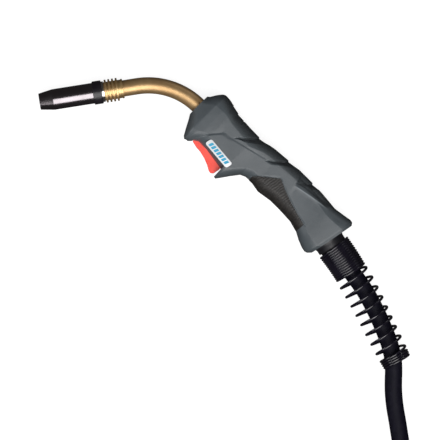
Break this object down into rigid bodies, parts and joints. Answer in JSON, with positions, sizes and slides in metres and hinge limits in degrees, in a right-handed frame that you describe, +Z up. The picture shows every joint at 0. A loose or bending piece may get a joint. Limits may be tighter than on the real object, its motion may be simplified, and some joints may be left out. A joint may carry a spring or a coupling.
{
  "type": "mig welding torch",
  "caption": "Air-cooled gas-shielded wire welding torch: chromed nozzle, brass swan neck, pistol-style handle with sprung trigger, bend spring, coiled lead and machine plug.",
  "frame": {"origin": "middle of the torch's own outline (without the cable), on the surface that the torch lies on", "axes": "+X along the nozzle, from its mouth towards the handle; +Y towards the handle's back; +Z up, out of the torch's left side"},
  "size_m": [0.3163, 0.7333, 0.0502],
  "materials": {
    "dark_chrome": "polished dark chrome",
    "black_ring": "moulded black glass-fibre plastic",
    "bright_chrome": "bright",
    "copper": null,
    "brass": "brushed",
    "white_ceramic": "matt",
    "steel": "plain",
    "cable_rubber": "smooth black sheath",
    "grey_plastic": "fine moulded grain",
    "grip_rubber": "soft textured",
    "plate_white": "printed plate, no lettering",
    "red_plastic": "satin",
    "black_plastic": "moulded",
    "lead_grey": "insulated wire",
    "spring_black": "plastic-coated wire",
    "strap_fabric": "hook-and-loop webbing"
  },
  "bodies": {
    "torch": {"nozzle_adaptor": "bright_chrome", "nozzle_clip": "bright_chrome", "contact_tip": "copper", "tip_holder": "brass", "gas_diffuser": "white_ceramic", "cooling_head": "brass", "swan_neck": "brass", "neck_insulator": "white_ceramic", "current_tube": "copper", "wire_liner": "steel", "neck_socket": "brass", "power_terminal": "brass", "power_lead": "cable_rubber", "handle_left": "grey_plastic", "handle_right": "grey_plastic", "handle_screws": "steel", "grip_pad_left": "grip_rubber", "grip_pad_right": "grip_rubber", "name_plate": "plate_white", "trigger_pin": "steel", "trigger_spring": "steel", "micro_switch": "black_plastic", "switch_leads": "lead_grey"},
    "nozzle": {"gas_nozzle": "dark_chrome", "nozzle_ring": "black_ring"},
    "trigger": {"trigger": "red_plastic"},
    "plunger": {"switch_plunger": "red_plastic"},
    "ball_liner": {"ball_liner": "black_plastic"},
    "cable": {"ball_collar": "black_plastic", "bend_spring": "spring_black", "power_cable": "cable_rubber", "cable_coil": "cable_rubber", "cable_tail": "cable_rubber", "cable_straps": "strap_fabric", "plug_boot": "cable_rubber", "plug_cover_top": "black_plastic", "plug_cover_base": "black_plastic", "plug_screws": "steel", "plug_body": "brass", "plug_insert": "black_plastic", "gas_spigot": "brass", "spigot_seals": "grip_rubber"},
    "plug_nut": {"plug_nut": "black_plastic"},
    "control_pins": {"control_pins": "brass"}
  },
  "joints": [
    {"name": "nozzle_pull", "type": "slide", "parent": "torch", "child": "nozzle", "axis": [-1, 0, 0], "range_m": [0, 0.07]},
    {"name": "trigger_press", "type": "hinge", "parent": "torch", "child": "trigger", "pos_m": [0.00734, 0.03967, 0.02], "axis": [0, 0, 1], "range_deg": [0, 7], "stiffness_Nm_per_rad": 1.5, "springref_deg": -5.73, "deforming": ["trigger_spring"]},
    {"name": "plunger_travel", "type": "slide", "parent": "torch", "child": "plunger", "axis": [0.809, 0.5878, 0], "range_m": [0, 0.0017]},
    {"name": "ball_swing", "type": "hinge", "parent": "torch", "child": "ball_liner", "pos_m": [0.11326, -0.07419, 0.02], "axis": [0, 0, 1], "range_deg": [-10, 10]},
    {"name": "ball_lift", "type": "hinge", "parent": "ball_liner", "child": "cable", "pos_m": [0.11326, -0.07419, 0.02], "axis": [0.9063, 0.4226, 0], "range_deg": [-10, 10]},
    {"name": "nut_spin", "type": "hinge", "parent": "cable", "child": "plug_nut", "pos_m": [0.1367, -0.5909, 0.0252], "axis": [0, -1, 0], "continuous": true},
    {"name": "pins_press", "type": "slide", "parent": "cable", "child": "control_pins", "axis": [0, 1, 0], "range_m": [0, 0.0025], "stiffness_N_per_m": 600, "springref_m": -0.002}
  ],
  "couplings": [
    {"joint": "plunger_travel", "follows": "trigger_press", "m_per_rad": 0.0135}
  ]
}
